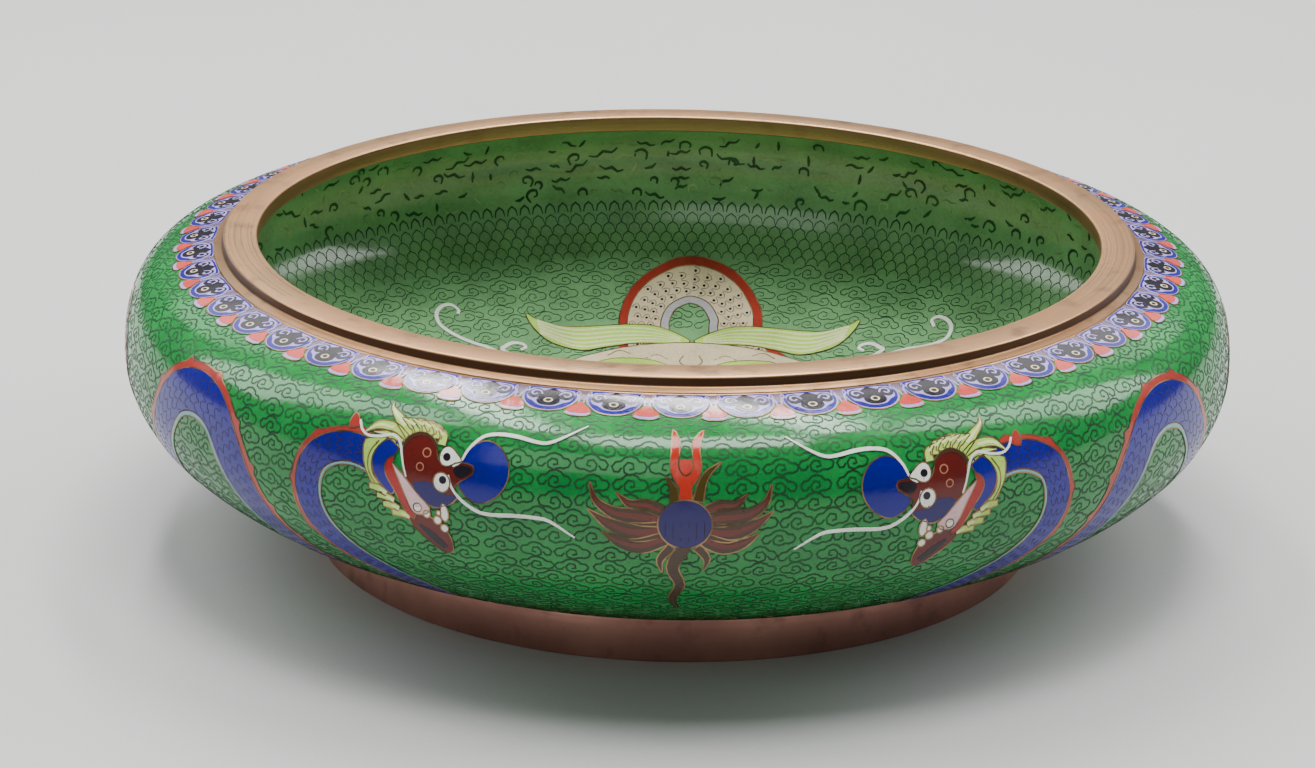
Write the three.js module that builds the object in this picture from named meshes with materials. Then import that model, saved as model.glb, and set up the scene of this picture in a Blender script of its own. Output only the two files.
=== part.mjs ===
// Cloisonne bowl: a low, wide, hollow bowl whose shoulder is drawn in to a broad mouth.
// A spun copper shell carries the enamel inside and out. A brass ring is soldered over
// its cut edge at the mouth, and a second ring under it is the foot it stands on.
// Millimetres, +Z up. The origin is the middle of the foot, on the table.
import * as THREE from 'three';

// Shell: copper with enamel and wires fused to both faces
const BELLY_RADIUS = 130;
const BELLY_HEIGHT = 47.2;
const SHELL_EDGE_RADIUS = 101.2;
const SHELL_EDGE_HEIGHT = 71.6;
const SHELL_WALL = 2.4;
const UNDERSIDE_HEIGHT = 7.5;

// Reach of the curve handles that round the shoulder, the belly and the underside
const SHOULDER_RISE = 21.7;
const SHOULDER_RUN = 18.5;
const SHOULDER_FALL = 2.6;
const BELLY_DROP = 19;
const BELLY_RUN = 18.6;
const BELLY_LIFT = 6;
const UNDERSIDE_RUN = 9;
const UNDERSIDE_FLAT = 52;

// Foot ring
const FOOT_RADIUS = 86.2;
const FOOT_WALL = 2.4;
const FOOT_SEAT_HEIGHT = 10.4;
const FOOT_EDGE = 0.5;

// Mouth rim: a flat plate with a lip down inside the mouth and a thin skirt over the enamel
const RIM_PLATE_WIDTH = 7.8;
const RIM_THICKNESS = 1.9;
const RIM_LIP_THICKNESS = 2;
const RIM_LIP_DEPTH = 3.9;
const RIM_WALL_DEPTH = 2.2;
const RIM_SKIRT_WIDTH = 2.5;
const RIM_SKIRT_EDGE = 0.4;

// Clearance between soldered pieces, and how finely round forms are cut
const SOLDER_GAP = 0.3;
const TURN_STEPS = 64;
const CURVE_STEPS = 10;
const UNDERSIDE_STEPS = 4;

const point = (radius, height) => new THREE.Vector2(radius, height);

function curve(start, startHandle, endHandle, end, steps) {
  return new THREE.CubicBezierCurve(start, startHandle, endHandle, end).getPoints(steps);
}

// Moves each point of a line to its left by a distance, at right angles to the line
function offsetLine(line, distance) {
  return line.map((here, i) => {
    const before = line[Math.max(i - 1, 0)];
    const after = line[Math.min(i + 1, line.length - 1)];
    const along = after.clone().sub(before).normalize();
    return point(here.x - along.y * distance, here.y + along.x * distance);
  });
}

// Height of a line at a radius. The line runs steadily inwards or outwards there
function heightAt(line, radius) {
  for (let i = 1; i < line.length; i += 1) {
    const a = line[i - 1];
    const b = line[i];
    if ((a.x - radius) * (b.x - radius) <= 0 && a.x !== b.x) {
      return a.y + ((b.y - a.y) * (radius - a.x)) / (b.x - a.x);
    }
  }
  throw new Error(`no height at radius ${radius}`);
}

// The stretch of a line between two radii, from the inner one to the outer one
function stretch(line, innerRadius, outerRadius) {
  const between = line.filter((p) => p.x > innerRadius + SOLDER_GAP && p.x < outerRadius - SOLDER_GAP);
  const ends = [innerRadius, outerRadius].map((radius) => point(radius, heightAt(line, radius)));
  return [ends[0], ...between.sort((a, b) => a.x - b.x), ends[1]];
}

// Turns a profile of radius and height about the upright axis
function turned(name, profile, material) {
  const geometry = new THREE.LatheGeometry(profile, TURN_STEPS);
  geometry.rotateX(Math.PI / 2);
  const mesh = new THREE.Mesh(geometry, material);
  mesh.name = name;
  return mesh;
}

const footMiddleRadius = FOOT_RADIUS - FOOT_WALL / 2;
const seat = point(footMiddleRadius, FOOT_SEAT_HEIGHT);
const belly = point(BELLY_RADIUS, BELLY_HEIGHT);
const shellEdge = point(SHELL_EDGE_RADIUS, SHELL_EDGE_HEIGHT);

// The line of the belly leaves the foot's seat on this slope, and the underside runs on from it
const seatSlope = BELLY_LIFT / BELLY_RUN;

const undersideLine = curve(
  point(0, UNDERSIDE_HEIGHT),
  point(UNDERSIDE_FLAT, UNDERSIDE_HEIGHT),
  point(seat.x - UNDERSIDE_RUN, seat.y - UNDERSIDE_RUN * seatSlope),
  seat,
  UNDERSIDE_STEPS,
);

const bellyLine = curve(
  seat,
  point(seat.x + BELLY_RUN, seat.y + BELLY_LIFT),
  point(belly.x, belly.y - BELLY_DROP),
  belly,
  CURVE_STEPS,
);

const shoulderLine = curve(
  belly,
  point(belly.x, belly.y + SHOULDER_RISE),
  point(shellEdge.x + SHOULDER_RUN, shellEdge.y - SHOULDER_FALL),
  shellEdge,
  CURVE_STEPS,
);

function shell() {
  const outside = [...undersideLine, ...bellyLine.slice(1), ...shoulderLine.slice(1)];
  const inside = offsetLine(outside, SHELL_WALL);
  inside[0] = point(0, UNDERSIDE_HEIGHT + SHELL_WALL);
  inside[inside.length - 1] = point(SHELL_EDGE_RADIUS, SHELL_EDGE_HEIGHT - SHELL_WALL);
  const enamel = new THREE.MeshStandardMaterial({ color: 0x2f8a48, roughness: 0.22, metalness: 0 });
  return turned('bowl_body', [...outside, ...inside.reverse()], enamel);
}

function mouthRim() {
  const lipBack = SHELL_EDGE_RADIUS - SOLDER_GAP;
  const innerRadius = lipBack - RIM_LIP_THICKNESS;
  const plateRadius = innerRadius + RIM_PLATE_WIDTH;
  const skirtRadius = plateRadius + RIM_SKIRT_WIDTH;
  const plateUnderside = SHELL_EDGE_HEIGHT + SOLDER_GAP;
  const top = plateUnderside + RIM_THICKNESS;
  const overShoulder = stretch(shoulderLine, SHELL_EDGE_RADIUS, skirtRadius)
    .map((p) => point(p.x, p.y + SOLDER_GAP));
  const skirtTip = overShoulder[overShoulder.length - 1];
  const profile = [
    point(lipBack, plateUnderside),
    ...overShoulder.slice(1),
    point(skirtTip.x, skirtTip.y + RIM_SKIRT_EDGE),
    point(plateRadius, top - RIM_WALL_DEPTH),
    point(plateRadius, top),
    point(innerRadius, top),
    point(innerRadius, top - RIM_LIP_DEPTH),
    point(lipBack, top - RIM_LIP_DEPTH),
    point(lipBack, plateUnderside),
  ];
  const brass = new THREE.MeshStandardMaterial({ color: 0xa58560, roughness: 0.38, metalness: 0.9 });
  return turned('mouth_rim', profile, brass);
}

function footRing() {
  const innerRadius = FOOT_RADIUS - FOOT_WALL;
  const underShell = stretch([...undersideLine, ...bellyLine.slice(1)], innerRadius, FOOT_RADIUS)
    .map((p) => point(p.x, p.y - SOLDER_GAP));
  const profile = [
    point(innerRadius, 0),
    point(FOOT_RADIUS - FOOT_EDGE, 0),
    point(FOOT_RADIUS, FOOT_EDGE),
    ...underShell.reverse(),
    point(innerRadius, 0),
  ];
  const copperBrass = new THREE.MeshStandardMaterial({ color: 0x8c6350, roughness: 0.42, metalness: 0.85 });
  return turned('foot_ring', profile, copperBrass);
}

const bowl = new THREE.Group();
bowl.name = 'cloisonne_bowl';
bowl.add(shell(), mouthRim(), footRing());

export default bowl;
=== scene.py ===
"""A cloisonne bowl, dressed around its packed solids.

The copper shell is spun smooth. Each cell of coloured enamel and each wire between cells is
a thin inlay of its own: it is drawn flat, in millimetres, and wrapped onto the face of the
shell that it belongs to. The file is laid out as an add-on and is run as a script.
"""

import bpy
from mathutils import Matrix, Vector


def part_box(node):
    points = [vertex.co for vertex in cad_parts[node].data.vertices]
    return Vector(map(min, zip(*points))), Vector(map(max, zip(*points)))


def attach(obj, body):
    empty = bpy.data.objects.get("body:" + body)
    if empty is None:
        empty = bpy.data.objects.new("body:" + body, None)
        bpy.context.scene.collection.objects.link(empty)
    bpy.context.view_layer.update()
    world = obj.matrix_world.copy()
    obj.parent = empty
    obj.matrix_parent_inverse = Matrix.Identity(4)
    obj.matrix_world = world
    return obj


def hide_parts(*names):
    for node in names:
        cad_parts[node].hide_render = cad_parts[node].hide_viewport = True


bl_info = {
    "name": "Cloisonne Bowl",
    "version": (1, 0, 0),
    "blender": (4, 5, 0),
    "location": "View3D > Sidebar > Bowl",
    "description": "Spun copper bowl with wired enamel inside and out, a brass mouth rim and a foot ring",
    "category": "Object",
}

import math

import bmesh
import bpy
import numpy as np
from bpy.props import FloatProperty, FloatVectorProperty, IntProperty, PointerProperty
from mathutils import Quaternion, Vector

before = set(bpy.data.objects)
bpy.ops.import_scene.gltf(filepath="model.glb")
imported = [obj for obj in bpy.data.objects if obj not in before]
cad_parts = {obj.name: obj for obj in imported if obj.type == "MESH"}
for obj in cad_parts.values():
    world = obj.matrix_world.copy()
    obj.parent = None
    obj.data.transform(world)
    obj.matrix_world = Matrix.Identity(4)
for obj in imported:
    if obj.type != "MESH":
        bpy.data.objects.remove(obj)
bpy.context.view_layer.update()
body_low, body_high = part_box("bowl_body")
_, rim_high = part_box("mouth_rim")
foot_low, foot_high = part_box("foot_ring")

# Drawings are in millimetres, and the scene is in metres
MM = 0.001

# Reach of the handles that round the profile, as in the solids
SHOULDER_RISE = 21.7 * MM
SHOULDER_RUN = 18.5 * MM
SHOULDER_FALL = 2.6 * MM
BELLY_DROP = 19 * MM
BELLY_RUN = 18.6 * MM
BELLY_LIFT = 6 * MM
UNDERSIDE_FLAT = 52 * MM
UNDERSIDE_RUN = 9 * MM

# Thickness of the rim's skirt at its tip, lean of the plate's outer wall, and easing of the corners
SKIRT_EDGE = 0.4 * MM
WALL_LEAN = 0.2 * MM
RIM_EASE = 0.45 * MM
FOOT_EASE = 0.4 * MM

# How far the foot ring's outside rises past its seat, and its inside falls short of it
SEAT_RISE = 0.4 * MM
SEAT_FALL = 0.2 * MM

# How finely the turned pieces and the wrapped drawings are cut
TURN_STEPS = 256
LINE_STEPS = 32
EASE_STEPS = 3
FACET = 2.5 * MM


def srgb(red, green, blue):
    """A screen colour from 0 to 255 as the linear colour that a shader uses."""
    return tuple(((c / 255 + 0.055) / 1.055) ** 2.4 for c in (red, green, blue))


def length(name, description, value):
    """A size in metres."""
    return FloatProperty(
        name=name, description=description, default=value, min=0, precision=5,
        unit="LENGTH", subtype="DISTANCE",
    )


def colour(name, description, value):
    """A linear colour."""
    return FloatVectorProperty(
        name=name, description=description, default=value, size=3, min=0, max=1, subtype="COLOR"
    )


def strength(name, description, value):
    """Strength of a light."""
    return FloatProperty(name=name, description=description, default=value, min=0)


class BowlShape(bpy.types.PropertyGroup):
    """Sizes of the spun shell and of the two rings soldered to it."""

    belly_radius: length("Belly radius", "Widest radius of the shell", body_high.x)
    belly_height: length("Belly height", "Height of the widest place", 47.2 * MM)
    edge_radius: length("Edge radius", "Radius of the shell's cut edge at the mouth", 101.2 * MM)
    edge_height: length("Edge height", "Height of the shell's cut edge", body_high.z)
    wall: length("Wall", "Copper and enamel together", 2.4 * MM)
    underside_height: length("Underside height", "Height of the middle of the underside", body_low.z)
    foot_radius: length("Foot radius", "Outside radius of the foot ring", foot_high.x)
    foot_wall: length("Foot wall", "Thickness of the foot ring", 2.4 * MM)
    foot_seat: length("Foot seat", "Height where the foot meets the shell", 10.4 * MM)
    rim_lip_radius: length("Rim lip radius", "Radius of the opening inside the rim", 98.9 * MM)
    rim_plate_radius: length("Rim plate radius", "Outside radius of the rim's flat plate", 106.7 * MM)
    rim_skirt_radius: length("Rim skirt radius", "Reach of the rim's thin skirt", rim_high.x)
    rim_top: length("Rim top", "Height of the rim's flat plate", rim_high.z)
    rim_lip_depth: length("Rim lip depth", "How far the lip reaches down inside", 3.9 * MM)
    rim_wall_depth: length("Rim wall depth", "How far the plate's outer wall reaches down", 2.2 * MM)
    solder: length("Solder", "How far the rings reach into the enamel that they are soldered over", 0.1 * MM)


class WireWork(bpy.types.PropertyGroup):
    """Sizes of the wires and of the cells between them."""

    ground_wire: length("Ground wire", "Width of the cloud wires outside", 0.4 * MM)
    floor_wire: length("Floor wire", "Width of the cloud wires inside", 0.3 * MM)
    figure_wire: length("Figure wire", "Width of the wires that edge the figures", 0.3 * MM)
    scale_wire: length("Scale wire", "Width of the wires of scales", 0.18 * MM)
    wire_lift: length("Wire lift", "Height of the cloud wires over the ground enamel", 0.05 * MM)
    cell_lift: length("Cell lift", "Height of the lowest figure cells", 0.09 * MM)
    level_step: length("Level step", "Rise from one layer of a figure to the next", 0.04 * MM)
    edge_step: length("Edge step", "Height of a figure's wires over its cells", 0.02 * MM)
    sink: length("Sink", "Depth of wires and cells in the enamel", 0.12 * MM)


class Design(bpy.types.PropertyGroup):
    """Layout of the drawings."""

    middle: length("Middle of the front", "How far right of the front the pearl sits", 2.3 * MM)
    cloud_width: length("Cloud width", "Room that one cloud takes round the girth", 7.7 * MM)
    cloud_row: length("Cloud row", "Room that one row of clouds takes", 3.8 * MM)
    floor_clouds: FloatProperty(
        name="Floor clouds", description="Size of the clouds inside, as a share of those outside",
        default=1.15, min=0.5,
    )
    border_heads: IntProperty(
        name="Border heads", description="Cloud heads round the mouth", default=52, min=12
    )
    border_place: FloatProperty(
        name="Border place", description="How far right of the pearl one head is centred", default=-1.2 * MM,
        precision=5, unit="LENGTH", subtype="DISTANCE",
    )


class Enamels(bpy.types.PropertyGroup):
    """Colours of the enamels."""

    ground: colour("Ground", "Green ground outside", srgb(20, 126, 54))
    # Painted light: the ground inside is much lighter and greyer than outside, making up for the light that
    # the walls keep out and standing for the hazy sheen on the floor
    inner: colour("Inner ground", "Green ground inside", srgb(112, 158, 108))
    under: colour("Underside", "Plain enamel under the bowl", srgb(30, 92, 58))
    blue: colour("Blue", "Dragons' bodies and cheeks", srgb(22, 10, 128))
    snout: colour("Bright blue", "Round snouts", srgb(6, 0, 122))
    pearl: colour("Pearl blue", "The flaming pearl and the shade of the jaws", srgb(28, 20, 88))
    coral: colour("Coral", "Petals of the border", srgb(194, 68, 58))
    ridge: colour("Ridge red", "Ridges, tufts and the lip of the dragon inside", srgb(160, 52, 44))
    flame: colour("Flame red", "Flames over the pearl", srgb(184, 46, 28))
    brown: colour("Brown", "Side flames, the pearl's tail and brows", srgb(64, 46, 30))
    russet: colour("Russet", "Inner licks of the side flames", srgb(98, 42, 32))
    tan: colour("Tan", "Rings on the faces", srgb(168, 112, 84))
    lime: colour("Lime", "Manes", srgb(174, 212, 92))
    pale: colour("Pale lime", "Tips and combs", srgb(216, 226, 164))
    maroon: colour("Maroon", "Faces", srgb(90, 22, 16))
    slate: colour("Slate", "Spots on the scales inside", srgb(42, 30, 46))
    lips: colour("Lips", "Red lips", srgb(156, 34, 34))
    tongue: colour("Tongue", "Pink tongues", srgb(210, 172, 176))
    white: colour("White", "Eyes, teeth and whiskers", srgb(230, 232, 220))
    black: colour("Black", "Pupils, noses and border heads", srgb(24, 20, 28))
    olive: colour("Olive", "Small flames over the pearl", srgb(74, 60, 16))
    lavender: colour("Lavender", "Border lines and curls", srgb(160, 146, 206))
    grey: colour("Grey", "Border ground", srgb(112, 98, 118))
    teal: colour("Pale teal", "Belly strips and claws", srgb(112, 160, 168))
    mist: colour("Mist", "Belly of the dragon inside", srgb(176, 172, 176))
    cream: colour("Cream", "Scales of the dragon inside", srgb(214, 196, 160))


class Studio(bpy.types.PropertyGroup):
    """Lights, floor and lens."""

    lens: FloatProperty(name="Lens", description="Focal length in millimetres", default=98.55, min=10)
    roll: FloatProperty(
        name="Roll", description="Lean of the camera", default=math.radians(0.94),
        subtype="ANGLE", unit="ROTATION",
    )
    world_light: strength("World", "Strength of the even light", 0.2)
    strip_power: strength("Strips", "Watts of each long light overhead", 12)
    top_power: strength("Top", "Watts of the light over the mouth", 15)
    fill_power: strength("Fill", "Watts of the front fill", 5)
    side_power: strength("Side", "Watts of each side light", 14)
    back_power: strength("Back", "Watts of the long light behind", 6)
    floor_colour: colour("Floor", "Pale floor", srgb(186, 186, 184))


# Lines and outlines, flat and in millimetres


def smooth(points, closed=True, steps=3):
    """A soft line through points, closed on itself or open."""
    knots = np.array(points, float)
    if closed:
        before, here, after, beyond = (np.roll(knots, shift, axis=0) for shift in (1, 0, -1, -2))
    else:
        run = np.vstack((2 * knots[0] - knots[1], knots, 2 * knots[-1] - knots[-2]))
        before, here, after, beyond = run[:-3], run[1:-2], run[2:-1], run[3:]
    t = (np.arange(steps) / steps)[:, None, None]
    line = 0.5 * (
        2 * here
        + (after - before) * t
        + (2 * before - 5 * here + 4 * after - beyond) * t**2
        + (3 * here - before - 3 * after + beyond) * t**3
    )
    line = line.transpose(1, 0, 2).reshape(-1, 2)
    return line if closed else np.vstack((line, knots[-1]))


def beside(line, distance):
    """The line moved to its left by a distance, or by one distance for each point."""
    along = np.gradient(line, axis=0)
    along /= np.linalg.norm(along, axis=1)[:, None]
    side = np.stack((-along[:, 1], along[:, 0]), axis=1)
    return line + side * np.reshape(distance, (-1, 1))


def spread(line, values):
    """One value for each point of a line, eased from a few spread along it."""
    steps = np.hypot(*np.diff(line, axis=0).T)
    share = np.concatenate(([0], np.cumsum(steps))) / steps.sum()
    return np.interp(share, np.linspace(0, 1, len(values)), values)


def strand(points, widths, steps=4):
    """The two sides of a lock, flame or stroke that tapers along a soft line."""
    line = smooth(points, closed=False, steps=steps)
    half = np.maximum(spread(line, widths), 0.06) / 2
    return beside(line, half), beside(line, -half)


def disc(middle, across, up=None, corners=20):
    """Outline of a round or oval cell, by its radii."""
    turn = np.arange(corners) * 2 * math.pi / corners
    return np.stack((middle[0] + across * np.cos(turn), middle[1] + (up or across) * np.sin(turn)), axis=1)


def mirrored(points):
    """A half outline, from the bottom up its right side, joined to its own mirror image."""
    half = np.array(points, float)
    inner = half[1:-1] if half[-1][0] == 0 else half[1:]
    return np.vstack((half, (inner * (-1, 1))[::-1]))


def placed(at=(0, 0), turn=0, flip=1, size=1):
    """Puts a motif that was drawn about its own middle in its place: sized, turned, mirrored and moved."""
    c, s = math.cos(turn), math.sin(turn)

    def put(points):
        if isinstance(points, tuple):
            return tuple(put(side) for side in points)
        x, y = size * np.array(points, float).T
        return np.stack((at[0] + flip * (x * c - y * s), at[1] + x * s + y * c), axis=1)

    return put


def within(points, outline):
    """Which points lie within a closed outline."""
    x, y = points[:, 0][:, None], points[:, 1][:, None]
    here, after = outline, np.roll(outline, -1, axis=0)
    rise = after[:, 1] - here[:, 1]
    crosses = (here[:, 1] > y) != (after[:, 1] > y)
    at = here[:, 0] + (y - here[:, 1]) * (after[:, 0] - here[:, 0]) / np.where(rise == 0, 1, rise)
    return (crosses & (x < at)).sum(axis=1) % 2 == 1


# The two enamelled faces of the shell, in metres


def bend(start, start_handle, end_handle, end):
    """Points of a cubic curve from start to end."""
    t = np.linspace(0, 1, LINE_STEPS + 1)[:, None]
    a, b, c, d = (np.array(p) for p in (start, start_handle, end_handle, end))
    return (1 - t) ** 3 * a + 3 * (1 - t) ** 2 * t * b + 3 * (1 - t) * t**2 * c + t**3 * d


class Skin:
    """One face of the shell, as a line of radius and height that is measured along its length."""

    def __init__(self, line, side):
        self.line = line
        self.along = np.concatenate(([0], np.cumsum(np.hypot(*np.diff(line, axis=0).T))))
        slope = np.gradient(line, self.along, axis=0)
        self.normal = side * np.stack((slope[:, 1], -slope[:, 0]), axis=1)

    def spot(self, along, lift):
        """Radius and height of places along the skin, raised off it."""
        return [
            np.interp(along, self.along, self.line[:, i])
            + lift * np.interp(along, self.along, self.normal[:, i])
            for i in (0, 1)
        ]

    def radius_at(self, along):
        """Radius at a length along the skin."""
        return np.interp(along, self.along, self.line[:, 0])


def outside_line(shape):
    """Underside and outside of the shell: the stretch under the foot, and the stretch above it."""
    seat = (shape.foot_radius - shape.foot_wall / 2, shape.foot_seat)
    belly = (shape.belly_radius, shape.belly_height)
    edge = (shape.edge_radius, shape.edge_height)
    slope = BELLY_LIFT / BELLY_RUN
    underside = bend(
        (0, shape.underside_height),
        (UNDERSIDE_FLAT, shape.underside_height),
        (seat[0] - UNDERSIDE_RUN, seat[1] - UNDERSIDE_RUN * slope),
        seat,
    )
    lower = bend(
        seat,
        (seat[0] + BELLY_RUN, seat[1] + BELLY_LIFT),
        (belly[0], belly[1] - BELLY_DROP),
        belly,
    )
    upper = bend(
        belly,
        (belly[0], belly[1] + SHOULDER_RISE),
        (edge[0] + SHOULDER_RUN, edge[1] - SHOULDER_FALL),
        edge,
    )
    return underside, np.vstack((lower, upper[1:]))


def skins(shape):
    """The outside of the shell above the foot, and its whole inside from the middle of the floor."""
    underside, upper = outside_line(shape)
    outer = Skin(np.vstack((underside, upper[1:])), 1)
    inside = outer.line - outer.normal * shape.wall
    inside[0] = (0, shape.underside_height + shape.wall)
    inside[-1] = (shape.edge_radius, shape.edge_height - shape.wall)
    return Skin(upper, 1), Skin(inside, -1)


def round_the_bowl(skin, girth, facing, middle=0):
    """Lays a flat drawing round a skin: across runs round the girth, and up runs along the skin."""

    def lay(flat):
        turn = (flat[:, 0] + middle) / girth
        radius, height = skin.spot(flat[:, 1], flat[:, 2])
        return np.stack((radius * np.sin(turn), facing * radius * np.cos(turn), height), axis=1)

    return lay


def over_the_floor(skin):
    """Lays a flat plan down on the inside of the bowl, each point at its own distance from the middle."""
    widest = int(np.argmax(skin.line[:, 0])) + 1

    def lay(flat):
        reach = np.hypot(flat[:, 0], flat[:, 1])
        turn = np.arctan2(flat[:, 0], flat[:, 1])
        along = np.interp(reach, skin.line[:widest, 0], skin.along[:widest])
        radius, height = skin.spot(along, flat[:, 2])
        return np.stack((radius * np.sin(turn), radius * np.cos(turn), height), axis=1)

    return lay


# Finishes


class Finish:
    """A material in the making: its shader, and nodes that read Object coordinates."""

    def __init__(self, name, metallic=0.0):
        self.material = bpy.data.materials.new(name)
        self.material.use_nodes = True
        self.tree = self.material.node_tree
        self.shader = self.tree.nodes["Principled BSDF"]
        self.shader.inputs["Metallic"].default_value = metallic
        self.place = self.tree.nodes.new("ShaderNodeTexCoord").outputs["Object"]

    def link(self, source, target):
        self.tree.links.new(source, target)

    def noise(self, scale, detail=3.0, place=None):
        """Soft blotches, with so many to the metre."""
        node = self.tree.nodes.new("ShaderNodeTexNoise")
        node.inputs["Scale"].default_value = scale
        node.inputs["Detail"].default_value = detail
        self.link(place or self.place, node.inputs["Vector"])
        return node.outputs["Fac"]

    def ramp(self, source, low, high, start=0.35, end=0.65):
        """The source brought from one span of values to another."""
        node = self.tree.nodes.new("ShaderNodeMapRange")
        self.link(source, node.inputs["Value"])
        for socket, value in zip(("From Min", "From Max", "To Min", "To Max"), (start, end, low, high)):
            node.inputs[socket].default_value = value
        return node.outputs["Result"]

    def mix(self, factor, first, second):
        """Two colours, or a socket and a colour, mixed by a factor."""
        node = self.tree.nodes.new("ShaderNodeMix")
        node.data_type = "RGBA"
        for socket, value in zip((node.inputs[0], node.inputs[6], node.inputs[7]), (factor, first, second)):
            if isinstance(value, bpy.types.NodeSocket):
                self.link(value, socket)
            elif socket.type == "RGBA":
                socket.default_value = (*value, 1)
            else:
                socket.default_value = value
        return node.outputs[2]

    def math(self, how, first, second):
        """One sum on two values, each a socket or a number."""
        node = self.tree.nodes.new("ShaderNodeMath")
        node.operation = how
        for socket, value in zip(node.inputs, (first, second)):
            if isinstance(value, bpy.types.NodeSocket):
                self.link(value, socket)
            else:
                socket.default_value = value
        return node.outputs[0]

    def turned_place(self):
        """Coordinates that are the same all round the upright axis, the radius itself and the height."""
        flat = self.tree.nodes.new("ShaderNodeVectorMath")
        flat.operation = "MULTIPLY"
        flat.inputs[1].default_value = (1, 1, 0)
        self.link(self.place, flat.inputs[0])
        reach = self.tree.nodes.new("ShaderNodeVectorMath")
        reach.operation = "LENGTH"
        self.link(flat.outputs["Vector"], reach.inputs[0])
        parts = self.tree.nodes.new("ShaderNodeSeparateXYZ")
        self.link(self.place, parts.inputs[0])
        joined = self.tree.nodes.new("ShaderNodeCombineXYZ")
        self.link(reach.outputs["Value"], joined.inputs["X"])
        self.link(parts.outputs["Z"], joined.inputs["Z"])
        return joined.outputs["Vector"], reach.outputs["Value"], parts.outputs["Z"]

    def done(self, base, roughness, height, depth):
        """Feeds the shader its colour, its roughness and its bump."""
        bump = self.tree.nodes.new("ShaderNodeBump")
        bump.inputs["Distance"].default_value = depth
        self.link(height, bump.inputs["Height"])
        self.link(bump.outputs["Normal"], self.shader.inputs["Normal"])
        self.link(base, self.shader.inputs["Base Color"])
        self.link(roughness, self.shader.inputs["Roughness"])
        return self.material


def tint(base, share):
    """A colour made lighter or darker by a share."""
    return tuple(min(1, c * share) for c in base)


def enamel(name):
    """Fired and polished glass of one of the enamel colours, with cloudy patches and small pits."""
    known = bpy.data.materials.get(f"{name}_enamel")
    if known:
        return known
    base = tuple(getattr(bpy.context.scene.bowl_enamels, name))
    finish = Finish(f"{name}_enamel")
    cloud = finish.ramp(finish.noise(70), 0, 1)
    grain = finish.ramp(finish.noise(1100, 2), 0, 1)
    pits = finish.ramp(finish.noise(2600, 1), 1, 0, 0.70, 0.78)
    body = finish.mix(cloud, tint(base, 0.84), tint(base, 1.14))
    body = finish.mix(finish.math("MULTIPLY", grain, 0.22), body, tint(base, 1.5))
    body = finish.mix(pits, tint(base, 0.25), body)
    roughness = finish.math("ADD", finish.ramp(cloud, 0.09, 0.15, 0, 1), finish.ramp(grain, 0, 0.05, 0, 1))
    height = finish.math("ADD", finish.noise(420, 2), finish.math("MULTIPLY", pits, 0.6))
    return finish.done(body, roughness, height, 0.02 * MM)


def wire_metal(name, base, patina, rough, metallic=0.85):
    """Drawn wire, ground flush with the glass, with tarnish along it."""
    known = bpy.data.materials.get(name)
    if known:
        return known
    finish = Finish(name, metallic)
    tarnish = finish.ramp(finish.noise(160), 0, 1, 0.4, 0.62)
    scratches = finish.noise(3200, 2)
    body = finish.mix(tarnish, base, patina)
    roughness = finish.ramp(scratches, rough - 0.08, rough + 0.12, 0.3, 0.7)
    return finish.done(body, roughness, scratches, 0.01 * MM)


def ground_wire_metal():
    """The cloud wires: brass painted dark green, a painted reflection of dark surroundings, with tarnish."""
    return wire_metal("dark_wire", srgb(12, 78, 34), srgb(6, 52, 24), 0.42, 0.3)


def pale_wire_metal():
    """The pale strokes on the wall inside."""
    return wire_metal("pale_wire", srgb(136, 166, 112), srgb(84, 124, 76), 0.4, 0.3)


def figure_wire_metal():
    """The wires that edge the figures, which the polish has left brighter."""
    return wire_metal("bright_wire", srgb(160, 128, 92), srgb(84, 70, 50), 0.36)


def scale_wire_metal():
    """The fine wires between scales: brass painted dark violet, a painted reflection of dark surroundings,
    which also darkens the blue bodies.
    """
    return wire_metal("dull_wire", srgb(44, 34, 58), srgb(28, 22, 40), 0.45, 0.3)


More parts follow.
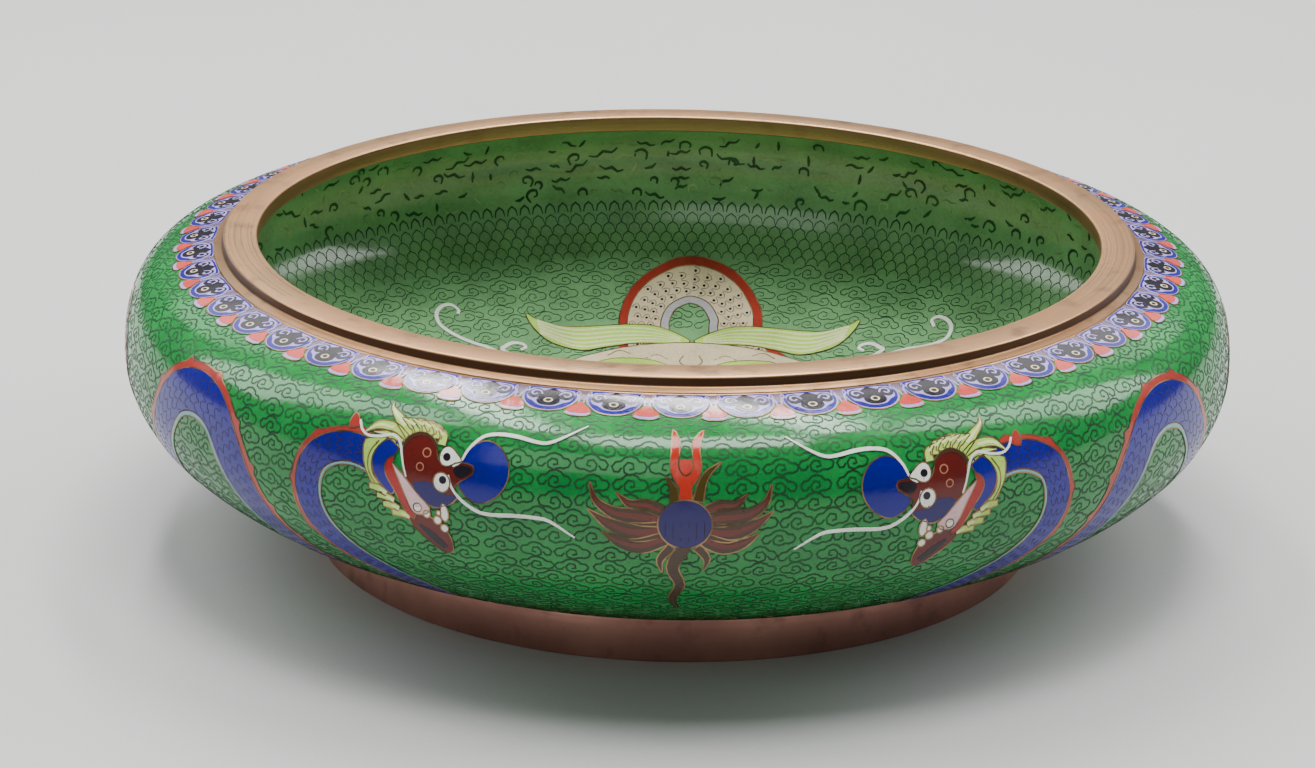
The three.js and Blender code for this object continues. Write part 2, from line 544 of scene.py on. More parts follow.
def ring_brass(name, bright, dull, tarnish_and_shade, edges=(), wall=None):
    """Turned brass with turning lines, patchy tarnish, and bright edges that are partly wear and partly a
    painted highlight.

    Edges are the radii that are brightened, partly as wear and partly as a painted highlight, and wall is
    the radius and the top of an outer wall: under the plate's top the brass is painted dark as shade, most
    on that wall, less on the lip inside and least on the skirt.
    """
    finish = Finish(name, metallic=0.92)
    turned, reach, level = finish.turned_place()
    patches = finish.ramp(finish.noise(38, 5), 0, 1, 0.36, 0.66)
    stains = finish.ramp(finish.noise(140, 4), 0, 1, 0.56, 0.72)
    lines = finish.noise(2400, 2, turned)
    body = finish.mix(patches, bright, dull)
    body = finish.mix(finish.math("MULTIPLY", stains, 0.5), body, tarnish_and_shade)
    # Bright places: random patches of wear, and lines along the given edges that are partly wear and partly
    # a painted highlight
    wear_and_highlight = finish.ramp(patches, 0, 0.2, 0, 1)
    for edge in edges:
        away = finish.math("ABSOLUTE", finish.math("SUBTRACT", reach, edge), 0)
        wear_and_highlight = finish.math("MAXIMUM", wear_and_highlight, finish.ramp(away, 1, 0, 0, 0.7 * MM))
    body = finish.mix(finish.math("MULTIPLY", wear_and_highlight, 0.6), body, tint(bright, 1.4))
    # Painted shade: under the plate's top the brass is darkened towards its darkest colour, most on the
    # outer wall, less on the lip inside and least on the skirt
    if wall:
        outside, top = wall
        shade_under_plate = finish.ramp(level, 0.92, 0, top - 0.5 * MM, top - 0.2 * MM)
        before = finish.ramp(reach, 1, 0.2, outside + 0.2 * MM, outside + 0.6 * MM)
        beyond = finish.ramp(reach, 0.6, 1, outside - 3 * MM, outside - 1 * MM)
        dark = finish.math("MULTIPLY", shade_under_plate, finish.math("MULTIPLY", before, beyond))
        body = finish.mix(dark, body, tarnish_and_shade)
    roughness = finish.math("ADD", finish.ramp(patches, 0.3, 0.42, 0, 1), finish.ramp(lines, -0.05, 0.07))
    height = finish.math("ADD", lines, finish.math("MULTIPLY", finish.noise(600, 3), 0.6))
    return finish.done(body, roughness, height, 0.025 * MM)


def floor_paper(base):
    """Matt pale paper."""
    finish = Finish("floor_paper")
    cloud = finish.ramp(finish.noise(3), 0, 1)
    fibres = finish.noise(900, 4)
    body = finish.mix(cloud, tint(base, 0.97), tint(base, 1.02))
    return finish.done(body, finish.ramp(fibres, 0.55, 0.65), fibres, 0.05 * MM)


# Making pieces


def add_piece(mesh, node=None):
    """Shows a mesh as a piece that rides on the bowl, in place of a solid if it stands for one."""
    piece = bpy.data.objects.new(mesh.name, mesh)
    bpy.context.scene.collection.objects.link(piece)
    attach(piece, "root")
    if node:
        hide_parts(node)
    return piece


def spun(profile):
    """A profile of radius and height, spun about the upright axis and closed at its poles."""
    bm = bmesh.new()
    corners = [bm.verts.new((radius, 0, height)) for radius, height in profile]
    edges = [bm.edges.new(pair) for pair in zip(corners, corners[1:] + corners[:1])]
    if profile[0][0] == 0:
        bm.edges.remove(edges.pop())
    bmesh.ops.spin(
        bm, geom=corners + edges, axis=(0, 0, 1), angle=2 * math.pi, steps=TURN_STEPS, use_merge=True
    )
    bmesh.ops.remove_doubles(bm, verts=bm.verts[:], dist=0.001 * MM)
    bmesh.ops.recalc_face_normals(bm, faces=bm.faces[:])
    return bm


def rounded(corners, radius):
    """A closed section with its corners eased by a radius, less where its sides are short."""
    section = []
    for i, corner in enumerate(corners):
        here = np.array(corner)
        sides = [np.array(corners[i - 1]) - here, np.array(corners[(i + 1) % len(corners)]) - here]
        ends = [here + side * min(radius / np.linalg.norm(side), 0.42) for side in sides]
        for t in np.linspace(0, 1, EASE_STEPS + 1):
            section.append((1 - t) ** 2 * ends[0] + 2 * t * (1 - t) * here + t**2 * ends[1])
    return section


def as_mesh(bm, name, sharp=40):
    """The mesh of a bmesh, smooth but for its sharp edges."""
    mesh = bpy.data.meshes.new(name)
    bm.to_mesh(mesh)
    bm.free()
    mesh.shade_smooth()
    mesh.set_sharp_from_angle(angle=math.radians(sharp))
    return mesh


def wrap(mesh, lay):
    """Moves a flat mesh onto the bowl."""
    flat = np.empty(len(mesh.vertices) * 3, np.float32)
    mesh.vertices.foreach_get("co", flat)
    mesh.vertices.foreach_set("co", lay(flat.reshape(-1, 3).astype(float)).ravel().astype(np.float32))
    mesh.update()


def refine(bm, longest):
    """Splits long edges until the mesh can follow the bend of the bowl."""
    bmesh.ops.triangulate(bm, faces=bm.faces[:])
    while True:
        edges = [edge for edge in bm.edges if edge.calc_length() > longest]
        if not edges:
            return
        bmesh.ops.subdivide_edges(bm, edges=edges, cuts=1)
        bmesh.ops.triangulate(bm, faces=bm.faces[:])


def inlay(name, cells, lay, material):
    """Thin cells of enamel sunk into a face of the bowl. A cell is an outline or two sides, and a level."""
    work = bpy.context.scene.wire_work
    bm = bmesh.new()
    for sides, level in cells:
        lift = work.cell_lift + level * work.level_step
        rows = [[bm.verts.new((x * MM, y * MM, lift)) for x, y in side] for side in sides]
        if len(rows) == 1:
            bm.faces.new(rows[0])
        else:
            edges = [bm.edges.new(pair) for row in rows for pair in zip(row, row[1:])]
            bmesh.ops.bridge_loops(bm, edges=edges)
    refine(bm, FACET)
    made = bmesh.ops.extrude_face_region(bm, geom=bm.faces[:], use_keep_orig=True)
    for part in made["geom"]:
        if isinstance(part, bmesh.types.BMVert):
            part.co.z = -work.sink
    bmesh.ops.recalc_face_normals(bm, faces=bm.faces[:])
    mesh = as_mesh(bm, name, 30)
    mesh.materials.append(material)
    wrap(mesh, lay)
    return add_piece(mesh)


def wires(name, lines, lay, width, material):
    """Flat wires sunk into a face of the bowl.

    A line is its points, its height, whether it is closed, and its taper.
    """
    work = bpy.context.scene.wire_work
    section = bpy.data.curves.new(f"{name}_section", "CURVE")
    corners = section.splines.new("POLY")
    corners.points.add(2)
    corners.points.foreach_set("co", (-width / 2, 0, 0, 1, width / 2, 0, 0, 1, 0, -2 * work.sink, 0, 1))
    corners.use_cyclic_u = True
    section_object = bpy.data.objects.new(section.name, section)
    curve = bpy.data.curves.new(name, "CURVE")
    curve.dimensions = "3D"
    curve.twist_mode = "Z_UP"
    curve.bevel_mode = "OBJECT"
    curve.bevel_object = section_object
    curve.use_fill_caps = True
    for points, lift, closed, taper in lines:
        spline = curve.splines.new("POLY")
        spline.points.add(len(points) - 1)
        places = np.column_stack((points * MM, np.full(len(points), lift), np.ones(len(points))))
        spline.points.foreach_set("co", places.ravel())
        swell = np.ones(len(points)) if taper is None else spread(points, taper)
        spline.points.foreach_set("radius", swell)
        spline.use_cyclic_u = closed
    holder = bpy.data.objects.new(name, curve)
    bpy.context.scene.collection.objects.link(holder)
    mesh = bpy.data.meshes.new_from_object(holder.evaluated_get(bpy.context.evaluated_depsgraph_get()))
    for spent in (holder, section_object):
        data = spent.data
        bpy.data.objects.remove(spent)
        bpy.data.curves.remove(data)
    bm = bmesh.new()
    bm.from_mesh(mesh)
    bpy.data.meshes.remove(mesh)
    bmesh.ops.recalc_face_normals(bm, faces=bm.faces[:])
    mesh = as_mesh(bm, name, 30)
    mesh.materials.append(material)
    wrap(mesh, lay)
    return add_piece(mesh)


class Picture:
    """A picture in wired enamel: its cells, sorted by colour, and the wires that edge them."""

    def __init__(self):
        self.cells = {}
        self.edges = []
        self.scales = []
        self.outlines = []

    def height(self, level):
        """Height of the wires that belong to a level."""
        work = bpy.context.scene.wire_work
        return work.cell_lift + level * work.level_step + work.edge_step

    def cell(self, colour_name, level, form, edge=True):
        """A cell within a closed outline, or between two sides."""
        sides = form if isinstance(form, tuple) else (form,)
        outline = np.vstack((form[0], form[1][::-1])) if isinstance(form, tuple) else form
        self.cells.setdefault(colour_name, []).append((sides, level))
        self.outlines.append(outline)
        if edge:
            self.edges.append((outline, self.height(level), True, None))

    def wire(self, line, level):
        """A wire by itself."""
        self.edges.append((line, self.height(level), False, None))

    def scale(self, line, level):
        """A fine wire, as between scales."""
        self.scales.append((line, self.height(level), False, None))

    def make(self, name, lay):
        """Makes the picture's pieces, one for each colour and one for each kind of wire."""
        work = bpy.context.scene.wire_work
        for colour_name, cells in self.cells.items():
            inlay(f"{name}_{colour_name}", cells, lay, enamel(colour_name))
        if self.edges:
            wires(f"{name}_wires", self.edges, lay, work.figure_wire, figure_wire_metal())
        if self.scales:
            wires(f"{name}_scale_wires", self.scales, lay, work.scale_wire, scale_wire_metal())


# The cloud ground


# The line of one cloud and the curl that ends it, about the cloud's middle
CLOUD = np.array(
    [(-1.6, -0.4), (-2.2, -1.2), (-3.1, -1.2), (-3.6, -0.2), (-2.9, 0.7), (-1.8, 0.9), (-1, 1.7), (0.2, 2),
     (1.4, 1.6), (2, 0.9), (3, 0.8), (3.6, 0), (3.2, -1), (2.2, -1.4), (1.4, -1.3)]
)
CLOUD_CURL = np.array(
    [(1.4, -1.3), (0.2, -1.8), (-1, -1.3), (-1.2, -0.2), (-0.4, 0.7), (0.7, 0.5), (0.9, -0.5), (0, -0.7)]
)


# How far a cloud may slip from its place, and how much it may swell
CLOUD_SLIP = 0.35
CLOUD_SWELL = (0.9, 1.06)

# First and last row of clouds, by the length along each skin
OUTSIDE_ROWS = (4, 88)
FLOOR_ROWS = (6, 121)


def clouds(skin, rows, size, shape, design):
    """Rows of small clouds bent by hand round a skin, no two quite alike, as lines."""
    girth = shape.belly_radius / MM
    width = size * design.cloud_width / MM
    hand = np.random.default_rng(3)
    lines = []
    for row, up in enumerate(np.arange(*rows, size * design.cloud_row / MM)):
        stretch = girth / (skin.radius_at(up * MM) / MM)
        count = round(2 * math.pi * girth / stretch / width)
        pitch = 2 * math.pi * girth / count
        for turn in range(count):
            slip = hand.uniform(-CLOUD_SLIP, CLOUD_SLIP, 2)
            swell = size * hand.uniform(*CLOUD_SWELL, 2) * (pitch / width * hand.choice((1, 1, 1, -1)), 1)
            middle = ((turn + 0.5 * (row % 2) - count / 2) * pitch, up) + slip
            lines += [part * swell + middle for part in (CLOUD, CLOUD_CURL)]
    return lines


def uncovered(lines, covers, place=np.asarray):
    """The lines whose two ends aren't both under one cover.

    Place brings a line to the sheet that the covers are drawn on.
    """
    ends = np.array([place(line[[0, -1]]) for line in lines])
    hidden = np.zeros(len(lines), bool)
    for outline in covers:
        hidden |= within(ends[:, 0], outline) & within(ends[:, 1], outline)
    return [line for line, under in zip(lines, hidden) if not under]


def lay_clouds(names, lines, lay, width, girth):
    """Makes two pieces of cloud wires: the half round the middle of the sheet, and the other half."""
    work = bpy.context.scene.wire_work
    for name, middle in zip(names, (True, False)):
        half = [line for line in lines if (abs(line[0][0]) < math.pi * girth / 2) == middle]
        part = [(line, work.wire_lift, False, None) for line in half]
        wires(name, part, lay, width, ground_wire_metal())


# The border of cloud heads


# Length along the skin where the rim's skirt ends, and radius of the border's middle
BORDER_SKIRT = 98.6
BORDER_RADIUS = 113.4

# Half outlines of a cloud head and of the petal between two heads, down from the skirt
HEAD_SCALLOP = [(0, -10), (2.4, -9.6), (4.4, -8.2), (5.7, -6), (6, -3.6), (5.5, -1.2), (0, -0.8)]
HEAD_FIELD = [(0, -8.7), (1.9, -8.3), (3.2, -7.1), (4.5, -6.3), (5, -4.4), (4.6, -2), (0, -1.6)]
HEAD_LOBES = [(0, -8.4), (1.6, -8), (2.5, -6.8), (2.3, -5.6), (3.4, -6), (4.6, -5.4), (5, -4), (4.4, -2.6),
              (3, -2.1), (2, -2.8), (1.2, -3.4), (0.7, -1.9), (0, -1.6)]
HEAD_CURL = [(1.8, -4.3), (2.6, -3), (3.8, -3), (4.2, -4), (3.5, -4.8), (2.9, -4.2)]
PETAL = [(0, -10), (1.4, -9.9), (2.5, -9.2), (2.1, -8.2), (1.1, -7.2), (0, -5.6)]


def border_picture(design, shape):
    """Cloud heads round the mouth, with petals between them on a grey ground."""
    picture = Picture()
    girth = shape.belly_radius / MM
    pitch = 2 * math.pi * girth / design.border_heads
    stretch = girth / BORDER_RADIUS
    half = pitch / 2 / stretch

    def put_at(across):
        def put(points):
            if isinstance(points, tuple):
                return tuple(put(side) for side in points)
            return np.array(points, float) * (stretch, 1) + (across, BORDER_SKIRT)

        return put

    for turn in range(design.border_heads):
        put = put_at(design.border_place / MM + turn * pitch)
        picture.cell("grey", 0, put([(-half, -5), (half, -5), (half, 1), (-half, 1)]), edge=False)
        scallop = smooth(mirrored(HEAD_SCALLOP), steps=2)
        picture.cell("lavender", 1, put(scallop))
        picture.cell("blue", 2, put(beside(scallop, 0.35)), edge=False)
        picture.cell("lavender", 3, put(smooth(mirrored(HEAD_FIELD), steps=2)), edge=False)
        picture.cell("black", 4, put(smooth(mirrored(HEAD_LOBES), steps=2)), edge=False)
        for flip in (1, -1):
            curl = np.array(HEAD_CURL) * (flip, 1)
            picture.cell("lavender", 5, put(strand(curl, [0.35, 0.5, 0.4], 2)), edge=False)
        picture.cell("cream", 5, put(disc((0, -6.4), 1, 0.9, 12)), edge=False)
        picture.cell("black", 6, put(disc((0, -6.4), 0.62, 0.55, 8)), edge=False)
        put = put_at(design.border_place / MM + (turn + 0.5) * pitch)
        for flip in (1, -1):
            stem = np.array([(0.5, -6.2), (0.7, -4), (1.6, -2.8), (1.3, -1.4)]) * (flip, 1)
            picture.cell("lavender", 2, put(strand(stem, [0.35, 0.45, 0.3], 2)), edge=False)
        petal = smooth(mirrored(PETAL), steps=2)
        picture.cell("lavender", 2, put(placed((0, -0.5), size=1.04)(petal)))
        picture.cell("coral", 3, put(petal), edge=False)
    return picture


# The flaming pearl


def pearl_picture(put=placed()):
    """The pearl, its forked flame, the flames at its sides and the wavy tail under it."""
    picture = Picture()
    fork = [(1.3, 69.2), (1.3, 72.2), (2.8, 74.4), (3.3, 76.8), (3, 79.4), (3.1, 81.6), (4, 84.9),
            (2.1, 83), (1.3, 80.8), (1.5, 78), (1.3, 75.8), (0, 74.6), (-1.3, 75.8), (-1.5, 78),
            (-1.2, 80.8), (-1.6, 83), (-2.8, 85), (-3, 82), (-3.1, 79.4), (-3.3, 76.8), (-2.8, 74.4),
            (-1.3, 72.2), (-1.3, 69.2)]
    for side, reach in ((-1, 1), (1, 0.9)):
        for points, widths in (
            ([(4, 61.4), (9, 59.6), (13.4, 60.4), (17, 62.4)], [3, 3.6, 2.4, 0.2]),
            ([(4, 63.4), (10, 62.6), (15.6, 64.2), (20, 67)], [3.4, 4.2, 2.6, 0.2]),
            ([(4, 65.4), (10, 66), (14.6, 66.6), (18.4, 69), (19.8, 72.6)], [3, 3.8, 2.8, 1.6, 0.2]),
            ([(4, 67), (8, 68.4), (11.4, 68.6), (14.2, 70.8)], [2.4, 2.6, 1.8, 0.2]),
        ):
            points = np.array(points) * (side * reach, 1)
            picture.cell("brown", 0, put(strand(points, widths)))
            picture.cell("russet", 1, put(strand(points, np.array(widths) * 0.35)), edge=False)
    for points, widths in (
        ([(0, 60), (-2.4, 54.5), (-0.8, 49), (-2.4, 43), (-1, 36.5)], [3, 2.6, 2.2, 1.6, 0.5]),
        ([(-2.6, 59.6), (-5, 56.4), (-4.6, 53)], [2, 1.6, 0.2]),
        ([(2.6, 59.6), (4.6, 56.8), (4, 53.8)], [2, 1.6, 0.2]),
    ):
        picture.cell("brown", 0, put(strand(points, widths)))
    for points, widths in (
        ([(2.6, 69.4), (3.4, 73), (4.8, 75.4), (7.4, 77.4)], [2.2, 1.8, 1.2, 0.2]),
        ([(-2.2, 69.4), (-2.6, 72), (-4, 74.4)], [2, 1.5, 0.2]),
    ):
        picture.cell("olive", 0, put(strand(points, widths)))
    picture.cell("flame", 1, put(smooth(fork, steps=2)))
    picture.cell("pearl", 2, put(disc((0, 64.5), 5.6, 5.2, 32)))
    for across in np.arange(-4, 4.1, 1.6):
        picture.scale(put([(across, 60.8 + abs(across) / 4), (across, 64.8)]), 2)
    return picture


# The dragons outside


# The visible part of a body by the distance from the pearl and the height, and the rhythm of the rest
NECK_TO_SECOND_ARCH = [
    (66, 70.8), (73, 72.3), (79, 71.2), (83.4, 67.8), (85, 61.5), (83.2, 54), (77.8, 46.4), (70.5, 39),
    (64.4, 31), (64.6, 22.6), (71, 16.4), (80.5, 15.6), (89.5, 20.5), (95.8, 30), (100.6, 41), (105.4, 52),
    (110.8, 62), (116.5, 69.2), (124.3, 71.6), (132.8, 69.3), (139.2, 62.2), (143.8, 52.6), (147.4, 42),
    (152, 30),
]
FIRST_HIDDEN_VALLEY = 161
HIDDEN_ARCHES = 3
ARCH_PITCH = 66
ARCH_MIDDLE = 44
ARCH_HALF_HEIGHT = 26
TAIL = [(365, 29), (371, 36), (375, 44), (376, 52)]

# Distance between the points of a body's line, with two to a row of scales, and points from spike to spike
SCALE_STEP = 1.3
SPIKE_STEPS = 7


def body_line():
    """The middle of a dragon's body, from its neck to its tail."""
    phases = np.arange(0, 12 * HIDDEN_ARCHES + 1) * math.pi / 6
    fade = 1 - 0.3 * phases / phases[-1]
    waves = np.stack(
        (
            FIRST_HIDDEN_VALLEY + ARCH_PITCH * phases / (2 * math.pi) + 2.5 * np.sin(2 * phases),
            ARCH_MIDDLE - ARCH_HALF_HEIGHT * fade * np.cos(phases),
        ),
        axis=1,
    )
    return smooth(np.vstack((NECK_TO_SECOND_ARCH, waves, TAIL)), closed=False, steps=4)


def scaled_body(picture, line, half, put, level, colours, ridge=0.3, belly=0.22, spike=0.6, spots=None):
    """A body along a line: scales, a spiked ridge on its left and a plain belly strip on its right.

    The colours are those of the skin and of the belly. Ridge and belly are shares of half the body's width,
    and the spikes' height is a share of the ridge's.
    """
    lengths = np.concatenate(([0], np.cumsum(np.hypot(*np.diff(line, axis=0).T))))
    ticks = np.arange(0, lengths[-1], SCALE_STEP)
    line = np.stack([np.interp(ticks, lengths, line[:, i]) for i in (0, 1)], axis=1)
    half = spread(line, half)
    back = 1 + ridge * (1 + spike * (np.arange(len(line)) % SPIKE_STEPS == 5))
    picture.cell("ridge", level, put((beside(line, half * back), beside(line, half * 0.96))))
    picture.cell(colours[0], level + 1, put((beside(line, half), beside(line, half * (belly - 1)))))
    picture.cell(colours[1], level + 1, put((beside(line, half * (belly - 1)), beside(line, -half))))
    ahead = np.gradient(line, axis=0)
    ahead /= np.linalg.norm(ahead, axis=1)[:, None]
    aside = np.stack((-ahead[:, 1], ahead[:, 0]), axis=1)
    reach = np.array([0, 1.2, 1.7, 1.2, 0])[:, None]
    breadth = np.array([-0.12, -0.075, 0, 0.075, 0.12]) * (2 - belly)
    for row in range(2, len(line) - 3, 2):
        for share in (0.17, 0.44, 0.71) if row % 4 else (0.3, 0.57, 0.84):
            place = belly - 1 + share * (2 - belly)
            across = (place + breadth)[:, None] * half[row]
            picture.scale(put(line[row] + across * aside[row] + reach * ahead[row]), level + 1)
            if spots:
                spot = line[row] + place * half[row] * aside[row] + 0.4 * ahead[row]
                picture.cell(spots, level + 2, put(disc(spot, 0.45, corners=5)), edge=False)


def dragon_head(picture, put):
    """A head in profile with its mane, jaws, eyes, round snout and whiskers. It looks to the right."""
    cell = picture.cell
    blue_cheek = [(-9.1, 5.1), (-10.7, 6.4), (-12.4, 6.2), (-14.2, 4.9), (-15.6, 2.9), (-15.8, 0.9),
                  (-15.1, -1.3), (-13.6, -3.3), (-11.6, -5.1), (-10.7, -4), (-12, -1.8), (-12.7, 0.4),
                  (-12, 2.2), (-10.2, 3.1)]
    fur = [(-17.6, 6.2), (-15.1, 6.6), (-12.2, 6.7), (-13.8, 5.3), (-15.3, 3.3), (-16, 1.1),
           (-15.6, -1.1), (-14.2, -2.9), (-13.1, -4), (-14.7, -4.4), (-16.2, -2.7), (-17.6, 0.4),
           (-18, 3.3)]
    upper_jaw = [(-8.2, 4), (-7.8, 6.2), (-6.2, 7.6), (-4, 8), (-1.8, 7.1), (-0.4, 5.3), (-0.2, 3.1),
                 (0.7, 1.6), (3.3, 0.9), (5.1, 1.6), (7.8, 0.9), (7.6, -0.9), (4.9, -2.2), (3.3, -3.6),
                 (4, -5.3), (2.7, -6.7), (0.9, -7.3), (-0.9, -7.8), (-2.7, -7.3), (-4.4, -5.6),
                 (-6.4, -3.1), (-8, -1.1), (-8.4, 1.6)]
    jaw_shade = [(-6.2, -2.7), (-3.3, -2.2), (-0.9, -3.1), (1.1, -4.9), (3.6, -5.3), (2.2, -6.9),
                 (-0.4, -7.7), (-2.7, -7.1), (-4.7, -5.3)]
    brow = [(-8.2, 4.4), (-7.8, 6.4), (-6.2, 7.6), (-4, 8), (-1.8, 7.1), (-0.4, 5.3), (0, 3.6),
            (-0.7, 5), (-2, 6.5), (-4.1, 7.2), (-6.2, 6.8), (-7.4, 5.6)]
    nose_tip = [(3.4, 0.2), (5, 1), (7.4, 0.5), (7.2, -0.6), (5, -1.6), (3.8, -1)]
    lips = [(-10.2, 2.9), (-12, 2.2), (-12.7, 0.2), (-12, -2), (-10.7, -4.2), (-9.6, -6.7),
            (-8.4, -8.9), (-6.7, -10.4), (-6.4, -8.4), (-7.6, -6), (-8.7, -3.1), (-9.8, -0.4),
            (-10.7, 1.3)]
    tongue = [(-10.9, 1.6), (-9.6, 0.4), (-8, -1.3), (-6.2, -3.6), (-4.4, -5.8), (-2.7, -7.8), (-3.6, -9.1),
              (-5.8, -9.3), (-7.1, -8.4), (-8, -6), (-8.9, -3.3), (-10, -0.7)]
    snout = [(6.4, 3.6), (8.5, 5.5), (11, 6), (13.4, 4.9), (15.1, 2.7), (15.7, 0), (15.1, -2.6),
             (13.4, -4.9), (11, -6.4), (8.6, -6.9), (6.4, -6), (4.7, -4), (4.2, -1.4), (4.9, 1.4)]
    lower_jaw = [(-7.6, -9.2), (-5.6, -8.8), (-3, -9.8), (-0.8, -11.4), (0.6, -13.4), (1, -15.6),
                 (0.6, -17.6), (-0.7, -18.6), (-2.4, -17.8), (-4.6, -15.4), (-6.8, -12.8),
                 (-7.9, -10.8)]
    neck_fin = [(-22, 8.4), (-22, 10.4), (-21.1, 11.8), (-20, 10.7), (-19.6, 8.9)]
    fang = [(0.4, -6.8), (1.3, -8), (1.3, -9.9), (0.4, -10.8), (-0.4, -9.6), (-0.2, -7.9)]

    cell("ridge", 2, put(smooth(neck_fin, steps=2)))
    cell("lime", 2, put(smooth(fur, steps=2)))
    picture.wire(put(smooth([(-14.2, 6), (-16.4, 3.4), (-16.8, 0), (-15, -3.6)], closed=False)), 2)
    for points, widths in (
        ([(0.6, 5.2), (0.9, 7.2), (-0.6, 8.9)], [2, 1.8, 0.3]),
        ([(-0.6, 6.6), (-0.6, 8.4), (-2.6, 9.9)], [2, 2, 0.3]),
        ([(-2, 7.4), (-2.4, 9.1), (-4.8, 10.5)], [2.2, 2.2, 0.3]),
        ([(-3.6, 7.9), (-4.2, 9.6), (-7, 10.9)], [2.2, 2.3, 0.3]),
        ([(-5.2, 7.8), (-6.2, 9.5), (-9.4, 11)], [2.2, 2.4, 0.3]),
        ([(-8.6, 5.4), (-11.6, 7.3), (-15.6, 7.8)], [2, 1.6, 0.3]),
        ([(-8, 6.4), (-11, 8.8), (-14.8, 9.3), (-18.2, 7.5)], [2.4, 2.2, 1.8, 0.3]),
        ([(-6.8, 7.2), (-8.4, 9.2), (-12.4, 13.2), (-12.9, 14.8)], [2.4, 2.6, 1.6, 0.3]),
    ):
        cell("lime", 3, put(strand(points, widths)))
        cell("pale", 4, put(strand(points[1:], np.array(widths[1:]) * 0.3)), edge=False)
    for start, end in (
        ((-16.8, -3.5), (-12.7, -5)),
        ((-15.2, -5.4), (-11.1, -6.5)),
        ((-13.9, -7.3), (-10.1, -8.2)),
        ((-11.9, -9), (-7.8, -9.9)),
    ):
        middle = tuple((np.array(start) + end) / 2 + (0.2, 0.3))
        cell("lime", 3, put(strand([start, middle, end], [1.2, 1.7, 1.3], 2)))
        cell("pale", 4, put(strand([middle, end], [0.3, 0.9], 2)), edge=False)
    cell("blue", 3, put(smooth(blue_cheek, steps=2)))
    cell("lips", 4, put(smooth(lips, steps=2)))
    cell("tongue", 5, put(smooth(tongue, steps=2)))
    cell("snout", 3, put(smooth(snout, steps=2)))
    cell("maroon", 4, put(smooth(upper_jaw, steps=2)))
    cell("pearl", 5, put(smooth(jaw_shade, steps=2)), edge=False)
    cell("brown", 5, put(smooth(brow, steps=2)), edge=False)
    for middle, size in (((-2.6, 3.7), 1), ((-4.2, 0.8), 0.9)):
        cell("tan", 5, put(disc(middle, size * 1.05, corners=12)), edge=False)
        cell("maroon", 6, put(disc(middle, size * 0.75, corners=10)), edge=False)
    cell("black", 5, put(smooth(nose_tip, steps=2)), edge=False)
    far_eye = [(0.3, 2.7), (1, 4.5), (2.5, 5), (4, 3.9), (5.4, 1.9), (3.9, 1.5), (2.4, 0.9), (0.9, 1.2)]
    cell("white", 5, put(smooth(far_eye, steps=2)))
    cell("black", 6, put(disc((2, 2.8), 0.85, corners=12)), edge=False)
    cell("white", 5, put(disc((0.6, -2.4), 1.9, 2.1, 16)))
    cell("black", 6, put(disc((0.9, -1.9), 0.85, corners=12)), edge=False)
    cell("maroon", 3, put(smooth(lower_jaw, steps=2)))
    cell("black", 4, put(strand([(-5.8, -11.6), (-3.4, -14), (-1, -17)], [0.6, 1.8, 1.4])), edge=False)
    cell("white", 5, put(smooth(fang, steps=2)))
    for middle, size in (
        ((-5.6, -7.8), 0.95),
        ((-3.6, -9.2), 0.8),
        ((-0.8, -8.9), 0.55),
        ((-1.3, -10.5), 0.9),
        ((0, -12.3), 0.9),
    ):
        cell("white", 5, put(disc(middle, size, corners=12)))
    whiskers = (
        ([(3.3, 0.9), (5.1, 1.8), (6.7, 4.2), (8.9, 6.3), (11.1, 7.3), (14.4, 7.3), (17.8, 6.6),
          (21.1, 5.5), (24, 5), (27.8, 6.2), (32.7, 8.6)], [0.4, 0.7, 0.85, 0.65, 0.25]),
        ([(2.2, -0.9), (2.7, -3.3), (4.2, -5.7), (6.2, -7.5), (8.4, -8.8), (11.1, -9.4), (15.6, -9.7),
          (20, -10.3), (23.3, -11.3), (28, -15.1)], [0.4, 0.6, 0.75, 0.65, 0.25]),
        ([(-19.6, 10.2), (-18.7, 8.2), (-16.9, 7), (-13.8, 6.9), (-11.1, 7.3), (-9.3, 6.2), (-8.6, 4),
          (-8.2, 1.3), (-7.6, -1.3)], [0.4, 0.55, 0.6, 0.5, 0.3]),
    )
    for points, widths in whiskers:
        cell("white", 5, put(strand(points, widths, 3)), edge=False)


# Place and lean of the heads, of which the right one sits a little lower
HEAD_PLACE = (52.5, 71.4)
HEAD_LEAN = math.radians(8.5)
RIGHT_HEAD_DROP = 2.1

# Feet with the turns of their legs, and half the body's width from neck to tail
FEET = ((198, 38, -100), (229, 58, 165), (329, 40, -100))
BODY_HALF_WIDTHS = [3.4, 3.8, 4.8, 5.3, 5.3, 5.3, 5.2, 5.1, 5, 4.8, 4.4, 3.8, 2.8, 1.2]


def joined(first, then):
    """One placing after another."""
    return lambda points: then(first(points))


